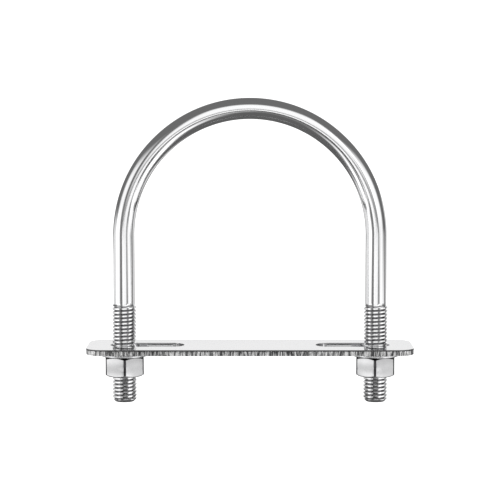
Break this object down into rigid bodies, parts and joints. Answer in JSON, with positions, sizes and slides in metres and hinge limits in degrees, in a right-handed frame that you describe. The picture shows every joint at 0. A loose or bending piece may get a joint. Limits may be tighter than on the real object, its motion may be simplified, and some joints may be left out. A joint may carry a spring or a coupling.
{
  "type": "u-bolt",
  "caption": "Steel U-bolt pipe clamp: a round rod bent into a U with threaded legs, a slotted flat plate across them, and a washer and hexagon nut under each side.",
  "frame": {"origin": "centre of the bend, on the axis of the pipe that the U goes over", "axes": "+X along the plate from the left leg to the right one, +Y along the pipe to the back, +Z from the legs' ends to the crown"},
  "size_m": [0.11, 0.025, 0.1028],
  "materials": {
    "rod_steel": "polished stainless steel rod",
    "plate_steel": "polished stainless steel sheet with rough sheared edges",
    "washer_steel": "tumbled stainless steel",
    "nut_steel": "bright stainless steel"
  },
  "bodies": {
    "rod": {"u_bolt": "rod_steel"},
    "plate": {"clamp_plate": "plate_steel"},
    "left_washer": {"washer_left": "washer_steel"},
    "right_washer": {"washer_right": "washer_steel"},
    "left_nut": {"nut_left": "nut_steel"},
    "right_nut": {"nut_right": "nut_steel"}
  },
  "joints": [
    {"name": "plate_slide", "type": "slide", "parent": "rod", "child": "plate", "axis": [0, 0, 1], "range_m": [0, 0.065]},
    {"name": "left_nut_travel", "type": "slide", "parent": "rod", "child": "left_washer", "axis": [0, 0, 1], "range_m": [-0.01626, 0]},
    {"name": "left_nut_spin", "type": "hinge", "parent": "left_washer", "child": "left_nut", "pos_m": [-0.0426, 0, -0.0444], "axis": [0, 0, 1], "range_deg": [-4680, 0]},
    {"name": "right_nut_travel", "type": "slide", "parent": "rod", "child": "right_washer", "axis": [0, 0, 1], "range_m": [-0.01626, 0]},
    {"name": "right_nut_spin", "type": "hinge", "parent": "right_washer", "child": "right_nut", "pos_m": [0.0426, 0, -0.0444], "axis": [0, 0, 1], "range_deg": [-4680, 0]}
  ],
  "couplings": [
    {"joint": "left_nut_travel", "follows": "left_nut_spin", "m_per_rad": 0.00019894},
    {"joint": "right_nut_travel", "follows": "right_nut_spin", "m_per_rad": 0.00019894}
  ]
}
